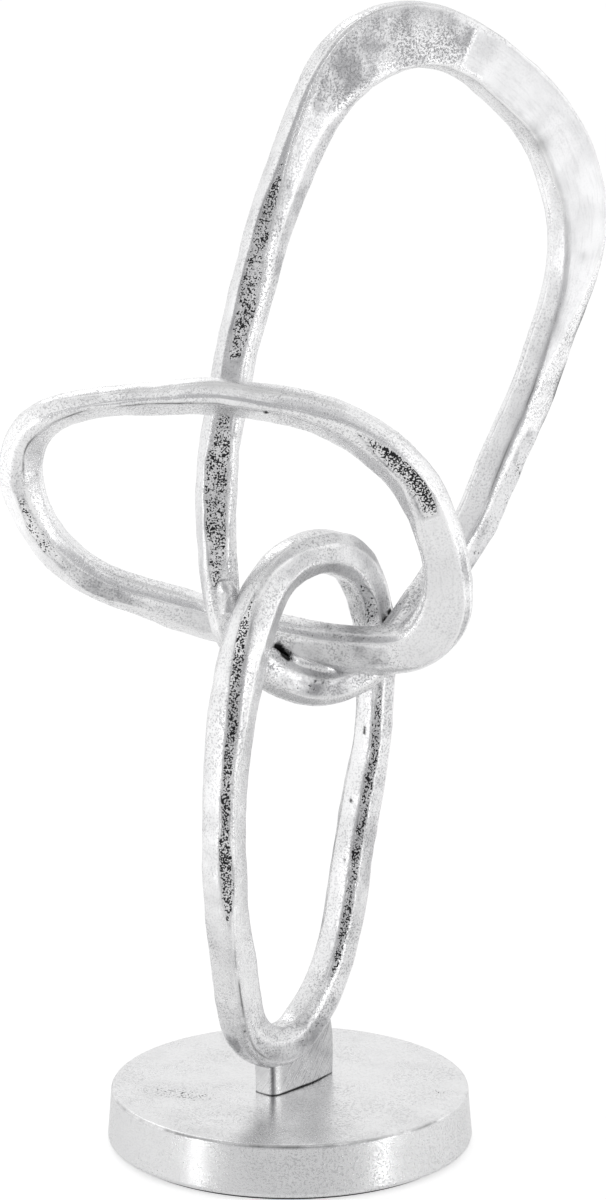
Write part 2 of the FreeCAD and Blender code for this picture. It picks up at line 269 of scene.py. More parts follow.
# Pits open where the fleck noise is below cast * rise + patch * spread + level.
pit_rise = 0.36
pit_spread = 0.34
pit_level = -0.046
pit_edge_band = (-0.008, 0.032)
pit_height = 1.5
thinnest_grain = 0.35
# Share of the painted highlight's white, which also thins the grain under it.
painted_highlight_cover = 0.8
polish_gain = 0.85
polish_wipes = 0.5
stain_gain = 2.0
ground_lightens = 0.85
# Dullness that stain adds, by itself and where there are smudges, and that buffing adds.
stain_dulls = 0.30
stain_smudges = 0.55
buff_dulls = 0.255
# Roughness of bright metal, and what grain and smudges, pits and crevices, buffing and stain add to it.
bare_roughness = 0.22
grain_roughness = 0.22
pit_roughness = 0.3
buffed_roughness = 0.22
stain_roughness = 0.16


def build_silver_group():
    """Raw cast aluminium. Grey sand specks, smudges and fine grinding marks dull bright ground metal. A cast
    of 0.5 is a grey stain, and towards 1 black pits open on a light ground. A cast below 0 is a polish, which
    takes specks and smudges away. The highlight mask mixes in white along crests, a painted highlight, and
    the last mask mixes in the black of pores and of painted shade in crevices. Outputs: colour, roughness and
    the height of the grain."""
    group = bpy.data.node_groups.new("cast_silver", "ShaderNodeTree")
    for name, kind, value in (("Where", "Vector", (0, 0, 0)), ("Cast", "Float", 0.0), ("Painted_Highlight", "Float", 0.0),
                              ("Seam", "Float", 0.0), ("Marks", "Float", 0.5), ("Marking", "Float", 0.1),
                              ("Staining", "Float", 1.0), ("Grain", "Float", 0.75), ("Smudge", "Float", 0.22),
                              ("Bright", "Color", silver_bright), ("Dull", "Color", silver_dull)):
        socket = group.interface.new_socket(name, in_out="INPUT", socket_type="NodeSocket" + kind)
        socket.default_value = value
    for name, kind in (("Color", "Color"), ("Roughness", "Float"), ("Height", "Float")):
        group.interface.new_socket(name, in_out="OUTPUT", socket_type="NodeSocket" + kind)
    given = group.nodes.new("NodeGroupInput").outputs
    where, cast, painted_highlight, seam = (given[name] for name in ("Where", "Cast", "Painted_Highlight", "Seam"))
    fleck = noise(where, fleck_scale, detail=1.0)
    patch = noise(where, patch_scale)
    specks = smooth_step(noise(where, grain_scale, roughness=0.6), *speck_band)
    region = smooth_step(noise(where, region_scale), *region_band)
    smudge = smooth_step(noise(where, smudge_scale, detail=4.0, roughness=0.6), *smudge_band)
    unpolished = clamped(plus(1.0, times(cast, polish_gain)))
    polish = minus(1.0, unpolished)
    light_ground = times(smooth_step(cast, *light_ground_band), ground_lightens)
    stain = minus(clamped(times(cast, stain_gain)), light_ground)
    stain = times(stain, given["Staining"])
    off_painted_highlight = minus(1.0, times(painted_highlight, painted_highlight_cover))
    thickness = times(plus(thinnest_grain, times(region, 1 - thinnest_grain)), unpolished, off_painted_highlight)
    grained = times(specks, thickness, given["Grain"])
    smudged = times(smudge, plus(given["Smudge"], times(stain, stain_smudges)),
                    minus(1.0, times(polish, polish_wipes)))
    buffed = times(smooth_step(polish, *buff_band), buff_dulls)
    marked = times(smooth_step(given["Marks"], *mark_band), given["Marking"])
    dullness = plus(grained, smudged, buffed, marked, times(stain, stain_dulls))
    level = plus(times(cast, pit_rise), times(patch, pit_spread), pit_level)
    pits = smooth_step(minus(level, fleck), *pit_edge_band)
    pits = times(pits, smooth_step(cast, *pit_start_band))
    shade = mixed(dullness, given["Bright"], given["Dull"])
    # Painted highlight: white mixed in along crests and edges, and over the foot's end face.
    shade = mixed(times(painted_highlight, painted_highlight_cover), shade, painted_highlight_white)
    shade = mixed(pits, shade, pit_black)
    # Black mixed in for pores, and as painted shade in crevices, creases, joints and the hole between the
    # bars.
    shade = mixed(seam, shade, pore_and_shade_black)
    rough = plus(bare_roughness, times(plus(grained, smudged), grain_roughness),
                 times(plus(pits, seam), pit_roughness),
                 times(polish, buffed_roughness), times(stain, stain_roughness))
    height = minus(plus(grained, marked), times(pits, pit_height))
    node(group, "NodeGroupOutput", {"Color": shade, "Roughness": rough, "Height": height})
    return group


silver_group = build_silver_group()
# Length and breadth of one grinding mark in metres.
mark_length = 1 / 120
mark_breadth = 1 / 2200


def new_material(name):
    """A new material with its empty node tree and the place on the object, which its noises read."""
    material = bpy.data.materials.new(name)
    material.use_nodes = True
    tree = material.node_tree
    tree.nodes.clear()
    return material, tree, node(tree, "ShaderNodeTexCoord").outputs["Object"]


def finish(tree, height, inputs, depth, strength=1.0):
    """Ends a material with a Principled shader. Its relief is the height times a depth in metres."""
    relief = node(tree, "ShaderNodeBump", {"Height": height, "Distance": depth, "Strength": strength})
    shader = node(tree, "ShaderNodeBsdfPrincipled", {**inputs, "Normal": relief.outputs["Normal"]})
    node(tree, "ShaderNodeOutputMaterial", {"Surface": shader.outputs["BSDF"]})


def silver(name, grain_depth, slant_deg=0.0, **values):
    """A cast silver material. The values set the shared group's inputs, and grain_depth is its relief.
    Its grinding marks are a noise on the UV map, stretched along a line at slant_deg to the piece's run."""
    material, tree, where = new_material(name)
    masks = {mask: node(tree, "ShaderNodeAttribute", attribute_name=mask.lower()).outputs["Fac"]
             for mask in ("Cast", "Painted_Highlight", "Seam")}
    run = node(tree, "ShaderNodeUVMap", uv_map="run").outputs["UV"]
    stretched = node(tree, "ShaderNodeMapping", {
        "Vector": run, "Rotation": (0, 0, np.radians(slant_deg)), "Scale": (mark_length, mark_breadth, 1)},
        vector_type="TEXTURE").outputs["Vector"]
    marks = noise(stretched, 1.0, roughness=0.6)
    metal = node(tree, "ShaderNodeGroup", {"Where": where, "Marks": marks, **masks, **values},
                 node_tree=silver_group).outputs
    finish(tree, metal["Height"], {
        "Base Color": metal["Color"], "Roughness": metal["Roughness"], "Metallic": 1.0}, grain_depth)
    return material


def base_casting():
    """The disc turned from its outline, its top and rim dressed by hand. Returns its points, with the rows
    along the outline, and the masks of its finish and of its painted reflection."""
    low, high = base_low[2], base_high[2]
    top_radius = base_radius - base_rim_lean
    seat = low + recess_depth
    outline = np.array([[
        (screw_hole_radius, high), (screw_hole_radius, seat), (recess_radius, seat), (recess_radius, low),
        (base_radius - base_edge_round, low), (base_radius, low + base_edge_round),
        (top_radius, high - base_edge_round), (top_radius - base_edge_round, high)]])
    profile, _ = rounded_outline(outline, base_edge_round * base_edge_blend_share, base_side_samples)
    profile = profile[0]
    turn = np.linspace(0, 2 * np.pi, base_columns, endpoint=False)
    radius, height = profile[:, :1], profile[:, 1:]
    points = turned(turn, radius, height)
    dressed = (radius > recess_radius + undressed_by_recess) & (height > low + undressed_by_table)
    points = raised(points, (clouds(points, base_dips, base_seed) - base_skim) * dressed)
    flat_top = height > high - base_edge_round / 2
    pitted = 0
    for x, y, half_length, half_breadth in base_pit_places:
        gap = ((points[..., 0] - x) / half_length) ** 2 + ((points[..., 1] - y) / half_breadth) ** 2
        pitted = pitted + np.exp(-gap)
    # The edge has a painted reflection: a broken dark line under it, thickest at the front.
    painted_edge_shade = np.exp(-((height - high + edge_line_drop) / edge_line_half) ** 2) * (radius > recess_radius)
    front = np.clip((-points[..., 1] / base_radius - edge_front_share) / edge_front_rise_share, 0, 1)
    breaks = clouds(points, edge_line_breaks, base_seed + 2)
    broken = np.clip(edge_line_front * front - edge_line_loss + breaks, 0, 1)
    return points, {"cast": np.clip(pitted, 0, 1) * base_pitting * flat_top,
                    "seam": painted_edge_shade * broken * edge_line_strength}


base_silver = silver("cast_base_silver", grain_depth=0.00005, Grain=0.45, Smudge=0.06, Marking=0.05,
                     Staining=0.15, Bright=grey(0.84, 0.005))
base = closed_grid("base_casting", base_silver, *base_casting())
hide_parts("base_disc")

# Felt pad: pressed grey wool felt, glued under the base and over the screw's recess.
# Its cut edge shows as a thin dark line between the base and the table.
felt_dark = grey(0.045, 0.003)
felt_light = grey(0.16, 0.005)
felt_tuft = grey(0.07, 0.005)
fibre_scale = 1800.0
tuft_scale = 260.0


def felt():
    """Pressed wool: two noises of fibre size mixed for the colour, and the finer one as relief."""
    material, tree, where = new_material("pressed_felt")
    fibre = noise(where, fibre_scale, detail=4.0, roughness=0.7)
    tuft = noise(where, tuft_scale)
    shade = mixed(fibre, felt_dark, felt_light)
    shade = mixed(times(tuft, 0.5), shade, felt_tuft)
    finish(tree, fibre, {"Base Color": shade, "Roughness": 0.95, "Sheen Weight": 0.4},
           depth=0.0003, strength=0.8)
    return material


def repaint(node_name, material):
    """Gives a carried-over part one material."""
    slots = nodes[node_name].data.materials
    slots.clear()
    slots.append(material)


repaint("felt_pad", felt())

# Fixing screw and its washers: zinc-plated steel, hidden in the base's recess under the felt.
# They stay as they are and only get their plating.
zinc_blue = (0.62, 0.63, 0.66, 1)
zinc_warm = (0.72, 0.72, 0.71, 1)
haze_scale = 240.0


def zinc():
    """Bright zinc plate with a faint cloudy passivation and fine turning marks round the screw's axis."""
    material, tree, where = new_material("zinc_plate")
    haze = noise(where, haze_scale)
    marks = node(tree, "ShaderNodeTexWave", {"Vector": where, "Scale": 900.0, "Distortion": 1.5},
                 bands_direction="Z").outputs["Fac"]
    rough = plus(0.25, times(haze, 0.2))
    finish(tree, marks, {"Base Color": mixed(haze, zinc_blue, zinc_warm), "Roughness": rough,
                         "Metallic": 1.0}, depth=0.00003, strength=0.5)
    return material


zinc_plate = zinc()
for hidden in ("fixing_screw", "spring_washer", "flat_washer"):
    repaint(hidden, zinc_plate)

# Lower link: an upright closed bar, sand-cast in aluminium with its foot and ground by hand along its length.
# Two strips that the grinder missed keep the dark pitted skin of the casting.
# Its centre line: places across and up in shares of the width and the rise, and the bar's width as a share.
lower_outline_shares = (
    (-0.065, 0.085, 0.95), (0.16, 0.135, 0.95), (0.31, 0.225, 0.93), (0.39, 0.33, 0.94),
    (0.45, 0.44, 0.95), (0.52, 0.545, 0.95), (0.575, 0.655, 0.9), (0.585, 0.765, 0.91),
    (0.535, 0.875, 0.99), (0.4, 0.965, 0.98), (0.16, 1.0, 1.0), (-0.085, 0.975, 1.05),
    (-0.24, 0.89, 1.14), (-0.34, 0.785, 1.13), (-0.395, 0.68, 1.05), (-0.42, 0.57, 0.98),
    (-0.42, 0.455, 0.99), (-0.4, 0.345, 0.98), (-0.355, 0.235, 1.0), (-0.285, 0.135, 0.97),
)
lower_size = (77.5, 179.2)
# The bar's width and depth, and how much its depth follows its width.
lower_bar = (14.2, 14.0, 0.9)
lower_bearing_deg = 50.0
lower_seed = 11
# Front of the bar by turn: the outer wall's front end, the outer ridge and its height, the inner ridge and
# its height, and the inner wall's front end. Places are shares of the half width, heights of the half depth.
lower_front_shares = (
    (0.0, 0.55, 0.55, 0.97, -0.5, 0.97, 0.5), (0.06, 0.45, 0.45, 0.97, -0.62, 1.0, 0.7),
    (0.12, 0.4, 0.4, 0.97, -0.68, 1.0, 0.62), (0.2, 0.35, 0.3, 0.98, -0.7, 1.0, 0.6),
    (0.3, 0.35, 0.2, 0.98, -0.66, 1.0, 0.58), (0.36, 0.45, 0.35, 0.98, -0.6, 1.0, 0.5),
    (0.48, 0.55, 0.45, 0.97, -0.45, 0.98, 0.5), (0.53, 0.45, 0.6, 0.9, -0.1, 0.99, 0.45),
    (0.57, 0.15, 0.9, 0.5, 0.1, 0.99, 0.4), (0.61, 0.14, 0.87, 0.68, 0.2, 1.0, 0.45),
    (0.64, 0.32, 0.78, 0.86, 0.26, 1.0, 0.45), (0.68, 0.6, 0.58, 0.98, 0.2, 1.0, 0.5),
    (0.73, 0.6, 0.62, 0.99, 0.42, 1.0, 0.52), (0.76, 0.6, 0.66, 0.99, 0.42, 1.0, 0.52),
    (0.805, 0.56, 0.46, 0.99, 0.3, 1.0, 0.52), (0.85, 0.8, 0.8, 0.99, 0.55, 1.0, 0.55),
    (0.9, 0.82, 0.82, 0.99, 0.4, 1.0, 0.6), (0.96, 0.7, 0.7, 0.98, 0.0, 1.0, 0.6),
)
# What the grinder left: a flat, the turns it runs between, how much cast skin it keeps, from -1 for a bright
# polish to 1 for dark pits, and the millimetres over which it fades in from the flat's edges, one value for
# both or two. Flats: 0 outer slope, 1 ridge flat, 2 inner slope, 3 inner wall, 4 to 6 back, 7 outer wall.
lower_skin = (
    (0, 0.42, 0.56, 0.34, 0.8), (0, 0.572, 0.77, 1.05, 0.5, 1.4), (0, 0.745, 0.855, 1.1, 0.5, 0.9),
    (1, 0.08, 0.36, 0.22, 1.0), (1, 0.36, 0.57, 0.2, 1.2), (1, 0.6, 0.7, -0.2, 0.8),
    # The rows from turn 0.94 round to 1.06, on the next line and on flats 2 and 7 below, grey the lowest
    # stretch above the base: partly cast skin, partly painted shade.
    (1, 0.94, 1.06, 0.5, 1.5),
    (2, 0.062, 0.335, 1.05, 0.6, 1.2), (2, 0.365, 0.438, 0.78, 0.8, 0.4), (2, 0.435, 0.6, 0.32, 1.2),
    (2, 0.94, 1.05, 0.4, 1.5),
    (3, 0.08, 0.36, -0.48, 0.8), (3, 0.37, 0.45, 0.58, 1.0),
    (4, 0.1, 0.38, 0.42, 0.3),
    (5, 0.1, 0.3, 0.8, 1.5), (5, 0.62, 0.8, 0.9, 1.5),
    (7, 0.58, 0.86, -0.3, 0.8), (7, 0.94, 1.0, 0.5, 1.5),
)
# Painted lines along the bar's corners: which corner, counted from the outer wall's front end, the turns, a
# strength above 0 for a painted highlight on a crest or below 0 for painted shade in a crease, and half its
# width.
lower_painted_lines = (
    (2, 0.57, 0.78, 0.9, 0.4), (1, 0.58, 0.64, -0.45, 0.25), (2, 0.08, 0.33, 0.6, 0.35),
    (1, 0.855, 0.985, -0.75, 0.4),
)
# Small dark pores, and painted shade in crevices, as a ball's centre and its radius. One more value makes the
# ball a soft dark patch of that strength instead: oxide in some places, painted shade in others.
lower_pores_and_shades = (
    (25.0, 27.9, 134.2, 0.55), (24.9, 27.8, 133.3, 0.75), (24.8, 27.7, 132.4, 0.55),
    (-14.9, -27.9, 48.6, 0.9, 0.5), (-14.7, -27.4, 46.6, 1.0, 0.6), (-14.5, -26.6, 44.6, 0.9, 0.45),
    (-14.7, -27.4, 46.4, 0.6), (20.6, 23.6, 110.0, 0.85), (18.4, 18.9, 91.0, 0.9),
    (19.4, 21.0, 99.0, 0.9), (-5.0, -16.0, 32.0, 6.0, 0.1), (31.2, 27.5, 171.5, 1.6),
    (32.6, 28.8, 173.2, 1.6), (33.8, 31.5, 175.0, 1.6),
)
# Back of the bar, the same all round: the inner wall's back end, the two ridges behind, and the outer wall's
# back end.
back_shares = (-0.46, -0.44, 0.46, -0.45)
row_count = 840
flat_samples = 12
ridge_round = 1.1
run_reach = 0.05
# How far each flat bulges in millimetres, from the outer slope round to the outer wall.
flat_bellies = (0.10, 0.14, 0.12, 0.30, 0.10, 0.10, 0.10, 0.32)
# What hand grinding leaves, as layers of a height and a cell size: the wander of each corner, across the bar
# and in its depth, and the dips of the flats. Cast skin lies lower, with a finer roughness.
corner_wander = (((0.28, 12.0), (0.22, 4.5)), ((0.28, 12.0), (0.05, 4.5)))
flat_dips = ((0.20, 9.0), (0.10, 3.5))
skin_depth = 0.10
skin_roughness = 0.10
skin_grain_size = 1.3
# Noise along a bar is read on a circle, so that it closes on itself. The circle's radius is the bar's length
# over this. The wander of each corner is read a step aside from the last one's, and its depth's a step more.
path_divisor = 6.3
corner_step = 31.0
depth_step = 57.0
# The tables by turn are averaged over this share of the way round to either side.
ease_share = 0.018
ease_steps = 9
# A strip's torn edges: cell sizes of a fine and a slow noise, how fast the fine one changes across the flat,
# the share of them that its first edge takes, and how far both edges lie out.
torn_cells = (3.0, 11.0)
torn_across = 0.6
torn_first_share = 0.6
torn_out = 0.3
# At its ends a strip draws in by its taper over one share of the way round, and fades over another.
skin_taper = 1.6
skin_taper_share = 0.03
skin_end_share = 0.004
darkest_cast = 1.15
# Painted highlight and shade lines: the share that is there before the noise breaks them, and where their
# ends fade.
line_kept = 0.75
line_breaks = ((0.9, 6.0),)
line_fade_share = 0.02
# A painted highlight: white along the corners of the front flats, broken here and there by noise.
painted_highlight_half_breadth = 0.5
painted_highlight_kept = 0.3
painted_highlight_breaks = ((1.4, 9.0),)
# The ragged edge of pores and the mottle of shades.
pore_ragged = ((0.3, 0.9),)
pore_soft_edge = 0.4
shade_kept = 0.8
shade_mottle = ((0.5, 3.0),)


def closed_line(marks, values, at):
    """Smooth closed line through values at marks. On each stretch it is a + f b + f^2 c + f^3 d, and the
    bends at the marks are solved so that slope and bend run on across every mark, the last one included."""
    count = len(values)
    gap = np.diff(marks)
    last = np.roll(gap, 1)
    slope = (np.roll(values, -1, axis=0) - values) / gap[:, None]
    system = np.zeros((count, count))
    i = np.arange(count)
    system[i, i] = 2 * (last + gap)
    system[i, (i + 1) % count] += gap
    system[i, (i - 1) % count] += last
    bend = np.linalg.solve(system, 6 * (slope - np.roll(slope, 1, axis=0)))
    at = at % marks[-1]
    k = np.clip(np.searchsorted(marks, at, side="right") - 1, 0, count - 1)
    f = (at - marks[k])[:, None]
    here, there, wide = bend[k], bend[(k + 1) % count], gap[k][:, None]
    return (values[k] + f * (slope[k] - wide * (2 * here + there) / 6) + f ** 2 * here / 2
            + f ** 3 * (there - here) / (6 * wide))


def plane_axes(bearing_deg, lean_deg):
    """Across, up and facing directions of a link's plane. A positive lean tips its top backwards."""
    bearing, lean = np.radians(bearing_deg), np.radians(lean_deg)
    across = np.array([np.cos(bearing), np.sin(bearing), 0])
    level = np.cross(across, [0, 0, 1])
    up = np.array([0, 0, 1]) * np.cos(lean) - level * np.sin(lean)
    return across, up, np.cross(across, up)


def eased(turn, table):
    """Columns of a table by turn: straight between its rows and round the seam, then averaged over a short
    stretch so that no ridge has a kink."""
    table = np.array(table)
    window = np.linspace(-ease_share, ease_share, ease_steps)
    return np.stack([np.interp(turn[:, None] + window, table[:, 0], column, period=1).mean(axis=1)
                     for column in table[:, 1:].T], axis=1)


def within(turn, start, end):
    """Signed share of the way round by which each turn lies inside two turns."""
    middle, half = (start + end) / 2, (end - start) / 2
    return half - np.abs((turn - middle + 0.5) % 1 - 0.5)


def flat_columns(flat):
    """The grid's columns on one flat."""
    return slice(flat * flat_samples, (flat + 1) * flat_samples)


def section_corners(turn, path, width, bar, front_shares, seed):
    """The section's eight corners in millimetres, outward and facing, from the outer wall's front end round
    the front. The front ones follow the table by turn. Each wanders along the path, in depth less where the
    bar is wide."""
    bar_width, bar_depth, follow = bar
    wall_out, ridge_out, high_out, ridge_in, high_in, wall_in = eased(turn, front_shares).T
    one = np.ones(row_count)
    back_in, back_ridge_in, back_ridge_out, back_out = np.outer(back_shares, one)
    corners = np.array([
        (one, wall_out), (ridge_out, high_out), (ridge_in, high_in), (-one, wall_in),
        (-one, back_in), (back_ridge_in, -one), (back_ridge_out, -one), (one, back_out)]).transpose(2, 0, 1)
    depth = bar_depth * (1 + follow * (width / bar_width - 1))
    corners = corners * np.stack([width, depth], 1)[:, None] / 2
    steadier = (bar_width / width) ** 3
    for corner, part in np.ndindex(8, 2):
        aside = np.array([0, 0, corner_step * corner + depth_step * part])
        corners[:, corner, part] += clouds(path + aside, corner_wander[part], seed) * steadier ** part
    return corners


def skin_left(turn, path, edge_gap, first_gap, last_gap, skin, seed):
    """How much cast skin each point keeps. A strip fades in from its flat's first and last edge as
    clip(gap / soft). Both its edges are ragged, and it draws in to a point at its ends."""
    cast = np.zeros(edge_gap.shape)
    fine_cell, slow_cell = torn_cells
    for flat, start, end, strength, *soft in skin:
        columns = flat_columns(flat)
        fine = cloud(path[:, None] + edge_gap[:, columns, None] * torn_across, fine_cell, seed + flat + 7)
        torn = (fine + cloud(path[:, None], slow_cell, seed + flat + 8)) / 2
        inside = within(turn, start, end)[:, None]
        drawn = torn_out - skin_taper * np.clip(1 - inside / skin_taper_share, 0, 1)
        fade = (np.clip((first_gap[:, columns] + torn_first_share * torn + drawn) / soft[0], 0, 1)
                * np.clip((last_gap[:, columns] - torn + drawn) / soft[-1], 0, 1))
        cast[:, columns] += strength * fade * np.clip(inside / skin_end_share + 0.5, 0, 1)
    return cast


def corner_lines(turn, path, first_gap, last_gap, painted_lines, seed):
    """Painted highlights on crests and painted shade in creases, as two masks. A line falls off on both sides
    of its corner as exp(-(gap / half)^2), and a noise along the bar breaks it."""
    masks = np.zeros((2, *first_gap.shape))
    for corner, start, end, strength, half in painted_lines:
        gap = np.full(first_gap.shape, np.inf)
        after, before = flat_columns(corner), flat_columns((corner - 1) % 8)
        gap[:, after] = first_gap[:, after]
        gap[:, before] = last_gap[:, before]
        broken = np.clip(line_kept + clouds(path, line_breaks, seed + corner + 20), 0, 1)
        faded = np.clip(within(turn, start, end) / line_fade_share, 0, 1)
        line = np.abs(strength) * (broken * faded)[:, None] * np.exp(-(gap / half) ** 2)
        kind = 0 if strength > 0 else 1
        masks[kind] = np.maximum(masks[kind], line)
    return masks


def dark_spots(points, pores_and_shades, seed):
    """Black pores with a ragged edge, and soft dark patches that fall off as exp(-(gap / radius)^2). Some of
    both are painted shade.
    """
    ragged = clouds(points, pore_ragged, seed + 6)
    mottled = shade_kept + clouds(points, shade_mottle, seed)
    dark = np.zeros(points.shape[:2])
    for x, y, z, radius, *shade in pores_and_shades:
        gap = np.linalg.norm(points - np.array([x, y, z]), axis=2) + ragged
        if shade:
            spot = shade[0] * np.exp(-(gap / radius) ** 2) * mottled
        else:
            spot = np.clip((radius - gap) / pore_soft_edge, 0, 1)
        dark = np.maximum(dark, spot)
    return dark


def cast_bar(outline_shares, size, bar, origin, bearing_deg, lean_deg, front_shares, skin, painted_lines, pores_and_shades,
             seed):
    """A closed bar: its eight-cornered section is carried along the link's centre line. A point is
    centre + outward * w + facing * d, where w and d run round the section. Each flat bulges by a belly times
    4 s (1 - s), where s runs across it, and hand grinding adds low dips along the normal. Returns the points
    and the masks of the finish, of painted highlights and of painted shade."""
    outline_shares = np.array(outline_shares)
    stations = outline_shares[:, :2] * size
    marks = np.concatenate([[0], np.cumsum(steps(stations, 0))])
    turn = np.arange(row_count) / row_count
    at = turn * marks[-1]
    centre = closed_line(marks, stations, at)
    run = closed_line(marks, stations, at + run_reach) - closed_line(marks, stations, at - run_reach)
    run /= np.linalg.norm(run, axis=1, keepdims=True)
    width = closed_line(marks, outline_shares[:, 2:] * bar[0], at)[:, 0]
    across, up, facing = plane_axes(bearing_deg, lean_deg)
    middle = np.array(origin) + centre[:, :1] * across + centre[:, 1:] * up
    outward = np.cross(run[:, :1] * across + run[:, 1:] * up, facing)
    path = turned(2 * np.pi * turn, 1, 0) * marks[-1] / path_divisor
    corners = section_corners(turn, path, width, bar, front_shares, seed)
    section, edge_gap = rounded_outline(corners, ridge_round, flat_samples)
    points = middle[:, None] + outward[:, None] * section[..., :1] + facing * section[..., 1:]
    s = side_shares(flat_samples)
    flat_width = steps(corners)[..., None]
    first_gap = (flat_width * s).reshape(row_count, -1)
    last_gap = (flat_width * (1 - s)).reshape(row_count, -1)
    cast = skin_left(turn, path, edge_gap, first_gap, last_gap, skin, seed)
    rough = np.clip(cast, 0, 1)
    calm = (np.minimum(1, bar[0] / width) ** 3)[:, None]
    grain = skin_depth + skin_roughness * cloud(points, skin_grain_size, seed + 4)
    bulge = np.outer(flat_bellies, 4 * s * (1 - s)).ravel()
    points = raised(points, clouds(points, flat_dips, seed + 2) * calm - rough * grain + bulge)
    front = np.arange(edge_gap.shape[1]) < 3 * flat_samples
    highlight_unbroken = np.clip(painted_highlight_kept + clouds(points, painted_highlight_breaks, seed + 5), 0, 1)
    painted_highlights, painted_crease_shade = corner_lines(turn, path, first_gap, last_gap, painted_lines, seed)
    # Painted highlight: white along the corners of the front flats, joined with the painted highlight lines.
    painted_highlight = np.maximum(np.exp(-(edge_gap / painted_highlight_half_breadth) ** 2) * front * highlight_unbroken, painted_highlights)
    return points, {"cast": np.minimum(cast, darkest_cast), "painted_highlight": painted_highlight * (1 - rough),
                    "seam": np.maximum(painted_crease_shade, dark_spots(points, pores_and_shades, seed))}


lower = closed_grid("lower_link_bar", silver("cast_lower_silver", grain_depth=0.00009), *cast_bar(
    lower_outline_shares, lower_size, lower_bar, (0, 0, base_high[2]), lower_bearing_deg, 0.0,
    lower_front_shares, lower_skin, lower_painted_lines, lower_pores_and_shades, lower_seed))
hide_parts("lower_link")

# Foot: cast in one with the lower link. A slim block with bowed faces, linished slantwise, that carries the
# link's lowest stretch and stands on the base. Painted shade darkens the joint under it.
foot_length = 33.0
foot_thickness = 10.8
foot_corner_radius = 3.0
foot_offset = 2.6
foot_rise = 18.6
foot_joint_gap = 0.05
foot_rows = 60
foot_side_samples = 30
foot_outline_shares = ((1.0, 0.72), (0.2, 1.0), (-1.0, 0.84), (-1.0, -0.84), (0.2, -1.0), (1.0, -0.72))
foot_edge_share = 0.985
foot_closed_share = 0.001
# The foot widens upwards from its waist, a share of its rise.
foot_flare_share = 0.03
foot_waist_share = 0.4
foot_draw_share = 0.10
foot_skim = 0.08
foot_dips = ((0.07, 6.0), (0.04, 2.5))
# Bands of painted shade and painted highlight round the foot, as columns of its outline: centre and half
# breadth, and the end face's two sides.
shade_band = (88.5, 3.2)
highlight_band = (96.0, 2.6)
end_face = (55, 84)
end_face_highlight = 0.7
shade_band_strength = 0.55
shade_band_kept = 0.9
shade_band_breaks = ((0.3, 3.0),)
# Painted shade at the joint: how black it is at the base's top, how much less it is a millimetre up, and its
# noise.
joint_shade_black = 1.6
joint_shade_fade = 2.6
joint_shade_breaks = ((0.5, 5.0),)
foot_seed = 41


def foot():
    """Outline of a bowed block with round corners, carried up in rows. Row 0 and the last row shrink to
    nothing, so both ends are closed. Returns its points and the masks of its painted highlight and painted
    shade."""
    corner = np.array(foot_outline_shares) * np.array([foot_length, foot_thickness]) / 2
    outline, _ = rounded_outline(corner[None], foot_corner_radius, foot_side_samples)
    outline = outline[0]
    rise = np.linspace(0, 1, foot_rows)
    swell = 1 + foot_flare_share * (rise - foot_waist_share)
    rise = np.concatenate([[0, 0], rise, [1, 1]])
    ends = [foot_closed_share, foot_edge_share]
    swell = np.concatenate([ends, swell, ends[::-1]])
    swell[2] = foot_edge_share
    flat = outline[None] * swell[:, None, None]
    # Near its top the far end draws in a little, so that it runs into the bar with no corner.
    draw = foot_draw_share * rise[:, None] ** 4 * np.clip(flat[..., 0] / foot_length * 2, 0, 1)
    flat = flat * np.stack([1 - draw, np.ones_like(draw)], axis=-1) + np.array([foot_offset, 0])
    across, up, facing = plane_axes(lower_bearing_deg, 0)
    height = base_high[2] + foot_joint_gap + foot_rise * rise
    points = flat[..., :1] * across + flat[..., 1:] * -facing + up * height[:, None, None]
    side = np.ones((len(rise), 1))
    side[[0, 1, -2, -1]] = 0
    points = raised(points, (clouds(points, foot_dips, foot_seed) - foot_skim) * side)
    above = points[..., 2] - base_high[2]
    joint_shade = np.clip(joint_shade_black - joint_shade_fade * above + clouds(points, joint_shade_breaks, foot_seed + 2), 0, 1)
    # Painted light on the near corner: a band of painted shade beside a painted highlight, and a painted
    # highlight over the end face.
    column = np.arange(len(outline))
    painted_shade, painted_highlights = (np.exp(-((column - place) / half) ** 2) for place, half in (shade_band, highlight_band))
    painted_shade = shade_band_strength * painted_shade * np.clip(shade_band_kept + clouds(points, shade_band_breaks, foot_seed + 3), 0, 1)
    painted_highlights = painted_highlights + end_face_highlight * ((column > end_face[0]) & (column < end_face[1]))
    return points, {"painted_highlight": painted_highlights * side, "seam": np.maximum(joint_shade, painted_shade * side)}


foot_silver = silver("cast_foot_silver", grain_depth=0.00004, slant_deg=38.0, Smudge=0.5, Grain=0.35,
                     Marking=0.9, Bright=grey(0.64, 0.005), Dull=grey(0.34, 0.01))
foot_piece = closed_grid("lower_link_foot", foot_silver, *foot())
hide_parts("lower_link")

